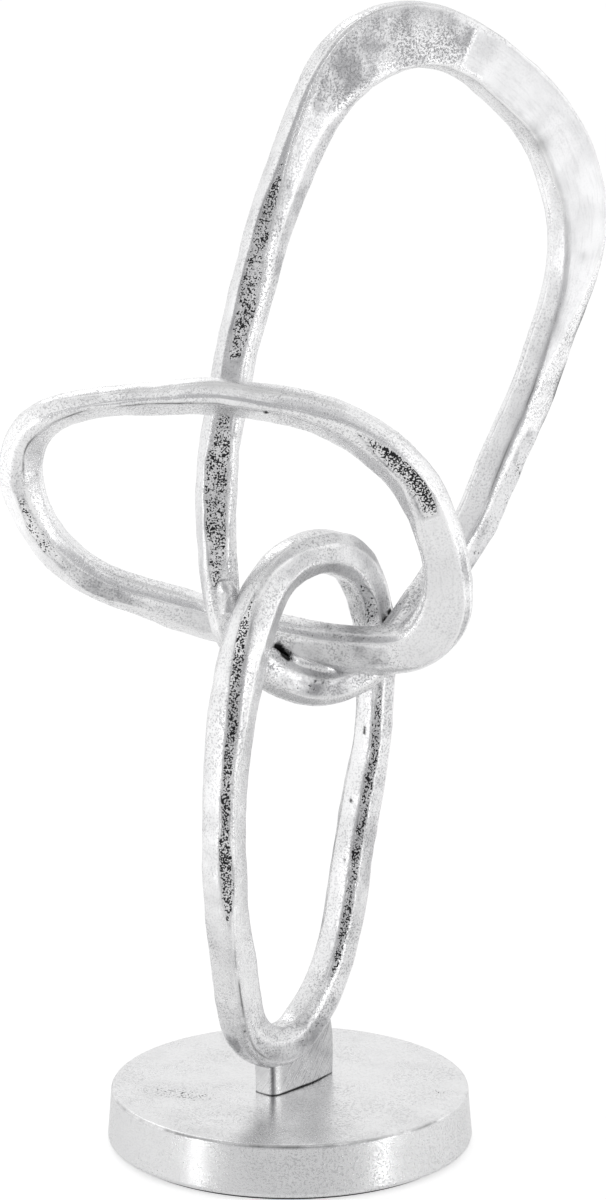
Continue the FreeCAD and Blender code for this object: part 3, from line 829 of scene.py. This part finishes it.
# Upper link: the tallest bar. It hangs in the lower link's crown and swells to a broad ground flat on top.
# Its left arm keeps a long dark strip of cast skin, and its crown a mottled grey one. Its tables have the
# lower link's columns.
upper_outline_shares = (
    (0.01, 0.0, 0.96), (0.15, 0.03, 0.96), (0.26, 0.095, 0.98), (0.355, 0.165, 1.03),
    (0.445, 0.245, 1.08), (0.51, 0.33, 1.09), (0.58, 0.41, 1.11), (0.64, 0.5, 1.09),
    (0.695, 0.585, 1.17), (0.725, 0.68, 1.41), (0.705, 0.77, 1.52), (0.64, 0.855, 1.47),
    (0.535, 0.925, 1.41), (0.415, 0.98, 1.41), (0.27, 1.005, 1.6), (0.13, 0.98, 1.67),
    (0.025, 0.91, 1.39), (-0.045, 0.825, 1.21), (-0.105, 0.74, 1.16), (-0.155, 0.65, 1.1),
    (-0.2, 0.56, 1.03), (-0.235, 0.47, 0.98), (-0.265, 0.375, 0.97), (-0.275, 0.285, 0.95),
    (-0.27, 0.19, 0.9), (-0.235, 0.1, 0.92), (-0.13, 0.03, 0.98),
)
upper_size = (132.0, 210.0)
upper_bar = (13.4, 11.8, 0.0)
upper_origin = (10.51, 10.29, 153.24)
upper_bearing_deg = 25.0
upper_lean_deg = 2.6
upper_seed = 23
upper_front_shares = (
    (0.0, 0.45, 0.5, 0.98, -0.5, 0.98, 0.45), (0.08, 0.4, 0.2, 0.98, -0.3, 0.98, 0.2),
    (0.14, 0.45, -0.1, 1.0, -0.34, 0.96, 0.0), (0.22, 0.55, 0.0, 1.0, -0.38, 0.96, 0.05),
    (0.28, 0.6, 0.3, 1.0, -0.48, 0.98, 0.15), (0.33, 0.7, 0.9, 1.0, -0.68, 1.0, 0.15),
    (0.38, 0.7, 0.93, 1.0, -0.76, 1.0, 0.15), (0.46, 0.7, 0.94, 1.0, -0.82, 1.0, 0.3),
    (0.52, 0.7, 0.92, 0.98, -0.88, 1.0, 0.5), (0.57, 0.8, 0.86, 0.98, -0.8, 0.96, 0.5),
    (0.62, 0.84, 0.74, 0.98, -0.2, 1.0, 0.3), (0.67, 0.8, 0.35, 1.0, -0.2, 0.98, 0.2),
    (0.72, 0.78, 0.0, 1.0, -0.4, 0.95, 0.3), (0.78, 0.78, -0.12, 1.0, -0.45, 0.95, 0.3),
    (0.84, 0.72, -0.2, 1.0, -0.5, 0.98, 0.25), (0.89, 0.6, 0.0, 0.98, -0.3, 0.98, 0.3),
    (0.95, 0.45, 0.4, 0.98, -0.4, 0.98, 0.4),
)
upper_skin = (
    (0, 0.05, 0.21, 0.5, 0.8, 1.2), (0, 0.622, 0.756, 0.96, 1.4, 0.9), (0, 0.752, 0.79, 0.12, 1.5, 1.0),
    (0, 0.785, 0.893, 0.98, 1.1, 0.5),
    (1, 0.115, 0.232, 0.42, 1.5, 2.4), (1, 0.24, 0.483, -1.0, 1.0), (1, 0.483, 0.6, 0.42, 1.5),
    # The rows from turn 0.94 round to 1.05, here and on the next two lines, grey the bottom arc behind the
    # middle link: partly cast skin, partly painted shade.
    (1, 0.6, 0.72, 0.36, 3.0, 1.0), (1, 0.84, 0.89, 0.45, 1.0, 0.6), (1, 0.95, 1.04, 0.34, 1.5),
    (1, 0.972, 0.99, 0.25, 1.5),
    (2, 0.1, 0.37, -0.4, 0.6), (2, 0.58, 0.73, 0.38, 1.2), (2, 0.94, 1.05, 0.3, 1.5),
    (3, 0.1, 0.37, -0.4, 0.6),
    (5, 0.25, 0.45, 0.8, 1.5), (5, 0.6, 0.85, 0.85, 1.5),
    (7, 0.62, 0.92, -0.45, 0.8),
)
upper_painted_lines = (
    (2, 0.29, 0.46, 0.95, 0.45), (0, 0.195, 0.31, -0.85, 1.6), (1, 0.62, 0.8, 0.7, 0.4),
    (2, 0.15, 0.29, -0.6, 0.32),
)
upper_pores_and_shades = (
    (96.8, 51.4, 288.8, 2.2, 0.16), (93.8, 51.6, 317.3, 1.8, 0.12), (97.5, 51.4, 302.0, 2.5, 0.05),
    (80.2, 45.2, 332.1, 2.4, 0.22), (82.3, 46.4, 326.5, 3.0, 0.34), (46.7, 34.6, 368.5, 5.0, 0.24),
    (34.0, 29.0, 370.0, 4.0, 0.14), (17.8, 21.2, 363.0, 6.0, 0.12), (44.0, 33.5, 361.0, 5.0, 0.1),
    # Painted shade: the first two black balls on the next line are the dark hole between the three bars, and
    # the soft one is the shadow under the left saddle bead.
    (-1.2, 3.2, 164.8, 2.1), (-2.4, 3.0, 165.6, 2.1), (9.4, 3.6, 156.1, 3.2, 0.3),
    (8.4, 3.2, 156.7, 0.55), (10.8, 4.2, 155.9, 0.55), (6.9, 2.4, 155.8, 0.5),
)
upper = closed_grid("upper_link_bar", silver("cast_upper_silver", grain_depth=0.00009), *cast_bar(
    upper_outline_shares, upper_size, upper_bar, upper_origin, upper_bearing_deg, upper_lean_deg,
    upper_front_shares, upper_skin, upper_painted_lines, upper_pores_and_shades, upper_seed))
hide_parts("upper_link")

# Middle link: a wide tear-shaped bar, threaded through both the others. It leans forwards out of the knot.
# Its right shoulder has a hollow, darkened by cast skin and by painted shade, and its long lower arm a
# speckled band. Its tables have the lower link's columns.
middle_outline_shares = (
    (0.0, -0.01, 1.24), (0.11, 0.02, 1.25), (0.18, 0.15, 1.3), (0.195, 0.315, 1.13),
    (0.175, 0.48, 1.08), (0.135, 0.64, 1.11), (0.07, 0.775, 1.09), (-0.02, 0.88, 1.06),
    (-0.12, 0.945, 0.99), (-0.23, 0.975, 0.93), (-0.34, 0.99, 0.97), (-0.45, 0.98, 0.87),
    (-0.56, 0.965, 0.79), (-0.67, 0.935, 0.81), (-0.767, 0.85, 0.96), (-0.806, 0.692, 1.03),
    (-0.788, 0.522, 0.97), (-0.731, 0.365, 0.94), (-0.646, 0.25, 0.95), (-0.537, 0.186, 0.97),
    (-0.435, 0.13, 1.1), (-0.325, 0.08, 1.06), (-0.22, 0.045, 1.06), (-0.11, 0.005, 1.16),
)
middle_size = (138.0, 90.5)
middle_bar = (13.2, 11.6, 0.0)
middle_origin = (25.41, 6.93, 166.74)
middle_bearing_deg = -7.6
middle_lean_deg = -15.0
middle_seed = 37
middle_front_shares = (
    (0.0, 0.3, 0.4, 0.98, -0.68, 1.0, 0.7), (0.06, 0.45, 0.78, 0.98, -0.74, 1.0, 0.6),
    (0.12, 0.5, 0.8, 0.98, -0.84, 1.0, 0.6), (0.18, 0.5, 0.78, 0.98, -0.7, 0.98, 0.5),
    (0.22, 0.5, 0.74, 0.98, -0.25, 1.0, 0.35), (0.27, 0.5, 0.66, 0.98, -0.15, 1.0, 0.3),
    (0.34, 0.35, 0.4, 1.0, 0.0, 0.98, 0.0), (0.42, 0.35, 0.55, 1.0, 0.15, 0.96, -0.15),
    (0.5, 0.4, 0.6, 1.0, 0.25, 0.96, -0.2), (0.58, 0.45, 0.5, 1.0, -0.1, 0.98, 0.0),
    (0.65, 0.35, 0.3, 0.98, -0.45, 0.98, 0.25), (0.72, 0.35, 0.3, 0.98, -0.5, 0.98, 0.5),
    (0.82, 0.35, 0.3, 0.98, -0.6, 0.98, 0.55), (0.9, 0.35, 0.4, 0.98, -0.66, 1.0, 0.65),
)
middle_skin = (
    (0, 0.05, 0.17, 0.34, 0.8),
    # The rows from turn 0.188 to 0.287 darken the right shoulder: partly cast skin, partly painted shade.
    (1, 0.03, 0.185, -0.5, 0.8), (1, 0.188, 0.287, 0.8, 0.5, 2.2), (1, 0.195, 0.28, 0.55, 0.3, 7.0),
    (1, 0.6, 0.66, 0.3, 1.2), (1, 0.64, 0.8, 0.42, 0.6, 0.8), (1, 0.65, 0.722, 0.35, 0.7, 1.0),
    # The rows from turn 0.92 round to 1.05, at the end of the next line and on the two after it, grey the
    # stretch under the hole between the bars: partly cast skin, partly painted shade.
    (1, 0.8, 0.88, 0.3, 1.2), (1, 0.93, 1.02, 0.35, 1.5),
    (2, 0.92, 1.05, 0.5, 1.5),
    (3, 0.96, 1.05, 0.55, 1.5),
    (5, 0.3, 0.5, 0.8, 1.5),
)
middle_painted_lines = (
    (2, 0.38, 0.63, -0.8, 0.32), (2, 0.3, 0.38, 0.8, 0.4),
)
middle_pores_and_shades = (
    # Painted shade: the three black balls on the next line are the dark hole between the three bars.
    (-3.8, 4.9, 168.2, 1.8), (-3.4, 5.6, 166.6, 2.5), (-2.2, 6.2, 165.0, 2.2),
    # The wide soft ball at the end of the next line is painted shade on the bottom facet under the hole.
    (-7.5, -16.9, 250.1, 1.0), (-81.2, 2.3, 225.5, 0.85), (12.5, 3.6, 167.0, 9.0, 0.22),
)
middle_silver = silver("cast_middle_silver", grain_depth=0.00008, Grain=0.55, Smudge=0.14,
                       Bright=grey(0.95, 0.005))
middle = closed_grid("middle_link_bar", middle_silver, *cast_bar(
    middle_outline_shares, middle_size, middle_bar, middle_origin, middle_bearing_deg, middle_lean_deg,
    middle_front_shares, middle_skin, middle_painted_lines, middle_pores_and_shades, middle_seed))
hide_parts("middle_link")

# Weld beads: aluminium filler run into the crevices where two bars lie against each other, then dressed.
# Each is a low lumpy run that sinks into both bars.
weld_rows = 110
weld_columns = 48
weld_end_angle = 0.0005
weld_seed = 60
# Lumps of a run, as a share of its radius and a cell size, and how soon it reaches its full radius.
run_lumps = ((0.10, 3.2),)
run_bluntness = 1.6
# A ball bead fills this share of its half sizes. It has a ripple, with waves down it and a twist, and lumps
# that are read on a ball of this radius.
ball_fill_share = 0.92
ball_ripple_share = 0.03
ball_waves = 9
ball_twist = 2
ball_lumps = ((0.09, 2.2),)
ball_lump_radius = 5
# Points along each bead with its radius there.
weld_lines = {
    "weld_near_arm": ((-21.2, -7.0, 193.5, 2.4), (-20.4, -7.6, 189.5, 3.6), (-19.7, -9.8, 185.5, 3.5),
                      (-19.4, -12.6, 181.5, 2.6)),
    "weld_left_saddle": ((-0.6, 4.9, 164.2, 2.0), (1.4, 5.8, 163.0, 2.7), (4.0, 7.0, 162.0, 3.0),
                         (7.5, 7.6, 161.0, 2.9), (11.5, 8.2, 159.9, 2.5), (16.5, 9.7, 158.6, 1.7)),
}
# Half sizes of the beads that are a stretched ball.
weld_balls = {
    "weld_far_arm": (5.6, 5.6, 4.4), "weld_right_saddle": (5.4, 5.2, 4.4), "weld_crest": (5.6, 5.4, 4.2),
}
weld_names = ("weld_near_arm", "weld_far_arm", "weld_left_saddle", "weld_right_saddle", "weld_crest")


def weld(name, seed):
    """A run of filler along a line of points. Its radius follows sin of the angle from one end to the other,
    so both ends close, and its skin is lumpy. A bead with no line is a ball stretched to its half sizes, with
    a low ripple."""
    low, high = (np.array(corner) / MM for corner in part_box(name))
    fall = np.linspace(weld_end_angle, np.pi - weld_end_angle, weld_rows)[:, None]
    turn = np.linspace(0, 2 * np.pi, weld_columns, endpoint=False)[None]
    if name in weld_balls:
        direction = turned(turn, np.sin(fall), np.cos(fall))
        half = np.minimum(np.array(weld_balls[name]), (high - low) / 2)
        ripple = 1 + ball_ripple_share * np.sin(ball_waves * fall + ball_twist * np.sin(turn))
        ripple = ripple + clouds(direction * ball_lump_radius, ball_lumps, seed)
        return (low + high) / 2 + direction * half * (ripple * ball_fill_share)[..., None]
    line = np.array(weld_lines[name])
    share = (1 - np.cos(fall[:, 0])) / 2
    marks = np.linspace(0, 1, len(line))
    spine = np.stack([np.interp(share, marks, column) for column in line.T], axis=1)[:, None]
    way = line[-1, :3] - line[0, :3]
    way /= np.linalg.norm(way)
    side = np.cross(way, [0, 1, 0])
    side /= np.linalg.norm(side)
    around = side * np.cos(turn)[..., None] + np.cross(way, side) * np.sin(turn)[..., None]
    swell = np.minimum(1, run_bluntness * np.sin(fall)) * spine[..., 3]
    place = spine[..., :3] + around * swell[..., None]
    lump = 1 + clouds(place, run_lumps, seed)
    return spine[..., :3] + around * (swell * lump)[..., None]


weld_silver = silver("weld_silver", grain_depth=0.00006, Smudge=0.25, Bright=grey(0.80, 0.005))
for place, name in enumerate(weld_names):
    bead = closed_grid(name + "_bead", weld_silver, weld(name, weld_seed + place), {})
    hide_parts(name)

# Studio: a pale floor, white surroundings with a darker quarter behind the camera, two tall strip lights and
# a soft light from behind. The camera stands where the photograph's did.
eye = (0.0, -1.5073, 0.5557)
look = (0.0028, 0.971, -0.239)
long_lens = 143.5
lamp_target = (0, 0, 0.2)
strip_distance = 1.4
strip_height = 0.16
strip_turn = np.radians(58)
strip_size = (0.09, 0.3)
strip_watts = 0.65
back_light_place = (-0.5, 1.2, 1.3)
back_light_size = (0.5, 0.5)
back_light_watts = 1.2
# What metal sees of the surroundings, and the bands of a direction's part sideways, towards the camera and
# upwards in which it comes in.
seen_white = grey(0.97)
seen_sides = grey(1.12)
sides_band = (0.6, 0.98)
seen_quarter = grey(0.45, 0.01)
quarter_band = (0.50, 0.86)
seen_top = grey(0.60)
top_band = (0.80, 0.98)
plain_light = grey(0.55)
full_white = grey(1.0)
floor_reach = 9.0
floor_white = grey(0.86)
# Glow of the floor: what the camera sees, what metal sees close by, and what is added farther out and, beyond
# that, at both sides.
floor_shown = 0.56
floor_near = 0.32
floor_outer = 0.09
floor_sides = 0.30
outer_band = (0.10, 0.35)
far_band = (0.15, 0.5)
floor_sides_band = (0.45, 0.95)


def unsigned(value):
    """The value without its sign."""
    return node(value.id_data, "ShaderNodeMath", {0: value}, operation="ABSOLUTE").outputs[0]


def make_world():
    """Plain white to the camera. Metal sees it white too, brighter at both sides, with a grey quarter towards
    the camera and a grey top. Elsewhere it is a plain grey light."""
    world = bpy.data.worlds.new("studio")
    bpy.context.scene.world = world
    world.use_nodes = True
    tree = world.node_tree
    tree.nodes.clear()
    direction = node(tree, "ShaderNodeTexCoord").outputs["Generated"]
    part = node(tree, "ShaderNodeSeparateXYZ", {"Vector": direction}).outputs
    path = node(tree, "ShaderNodeLightPath").outputs
    sideways, forwards = unsigned(part["X"]), times(part["Y"], -1.0)
    colour = mixed(smooth_step(sideways, *sides_band), seen_white, seen_sides)
    colour = mixed(smooth_step(forwards, *quarter_band), colour, seen_quarter)
    colour = mixed(smooth_step(part["Z"], *top_band), colour, seen_top)
    colour = mixed(path["Is Camera Ray"], colour, full_white)
    seen = node(tree, "ShaderNodeBackground", {"Color": colour})
    light = node(tree, "ShaderNodeBackground", {"Color": plain_light})
    directly = chained("MAXIMUM", path["Is Camera Ray"], path["Is Glossy Ray"], path["Is Transmission Ray"])
    both = node(tree, "ShaderNodeMixShader", {0: directly, 1: light.outputs[0], 2: seen.outputs[0]})
    node(tree, "ShaderNodeOutputWorld", {"Surface": both.outputs[0]})


def make_floor():
    """A level sheet of white acrylic: diffuse, plus the little glow that brings it to white where it is seen.
    What metal sees of it is brighter towards both sides, and at a low angle it mirrors the lights."""
    mesh = bpy.data.meshes.new("floor")
    corners = [(x * floor_reach, y * floor_reach, 0) for x, y in ((-1, -1), (1, -1), (1, 1), (-1, 1))]
    mesh.from_pydata(corners, [], [(0, 1, 2, 3)])
    floor = bpy.data.objects.new("floor", mesh)
    bpy.context.scene.collection.objects.link(floor)
    material, tree, where = new_material("floor_paper")
    path = node(tree, "ShaderNodeLightPath").outputs
    way = node(tree, "ShaderNodeVectorMath", {0: where}, operation="NORMALIZE").outputs["Vector"]
    aside = unsigned(node(tree, "ShaderNodeSeparateXYZ", {"Vector": way}).outputs["X"])
    distance = node(tree, "ShaderNodeVectorMath", {0: where}, operation="LENGTH").outputs["Value"]
    sides = times(smooth_step(aside, *floor_sides_band), smooth_step(distance, *far_band), floor_sides)
    outer = times(smooth_step(distance, *outer_band), floor_outer)
    mirrored = times(path["Is Glossy Ray"], plus(sides, outer, floor_near))
    shown = chained("MAXIMUM", path["Is Camera Ray"], path["Is Transmission Ray"])
    paper = node(tree, "ShaderNodeBsdfDiffuse", {"Color": floor_white})
    glow = node(tree, "ShaderNodeEmission", {
        "Color": full_white, "Strength": plus(times(shown, floor_shown), mirrored)})
    both = node(tree, "ShaderNodeAddShader", {0: paper.outputs[0], 1: glow.outputs[0]})
    sheen = node(tree, "ShaderNodeBsdfGlossy", {"Color": full_white, "Roughness": 0.12})
    fresnel = node(tree, "ShaderNodeFresnel", {"IOR": 1.5}).outputs["Fac"]
    polish = times(fresnel, path["Is Glossy Ray"])
    whole = node(tree, "ShaderNodeMixShader", {0: polish, 1: both.outputs[0], 2: sheen.outputs[0]})
    node(tree, "ShaderNodeOutputMaterial", {"Surface": whole.outputs[0]})
    mesh.materials.append(material)


def stood(name, data, place, way):
    """Puts a lamp or camera at a place, facing along a way."""
    holder = bpy.data.objects.new(name, data)
    bpy.context.scene.collection.objects.link(holder)
    holder.location = place
    holder.rotation_euler = Vector(way).to_track_quat("-Z", "Y").to_euler()
    return holder


def lamp(name, place, size, watts):
    """A rectangular soft light that looks at the sculpture's middle."""
    light = bpy.data.lights.new(name, "AREA")
    light.shape = "RECTANGLE"
    light.size, light.size_y = size
    light.energy = watts
    stood(name, light, place, np.array(lamp_target) - np.array(place))


make_world()
make_floor()
for name, side in (("left_strip", -1), ("right_strip", 1)):
    place = (side * strip_distance * np.sin(strip_turn), -strip_distance * np.cos(strip_turn), strip_height)
    lamp(name, place, strip_size, strip_watts)
lamp("back_light", back_light_place, back_light_size, back_light_watts)

camera = bpy.data.cameras.new("camera")
camera.lens = long_lens
camera.clip_start = 0.1
camera.clip_end = 60
bpy.context.scene.camera = stood("camera", camera, eye, look)
bpy.context.scene.view_settings.view_transform = "Standard"
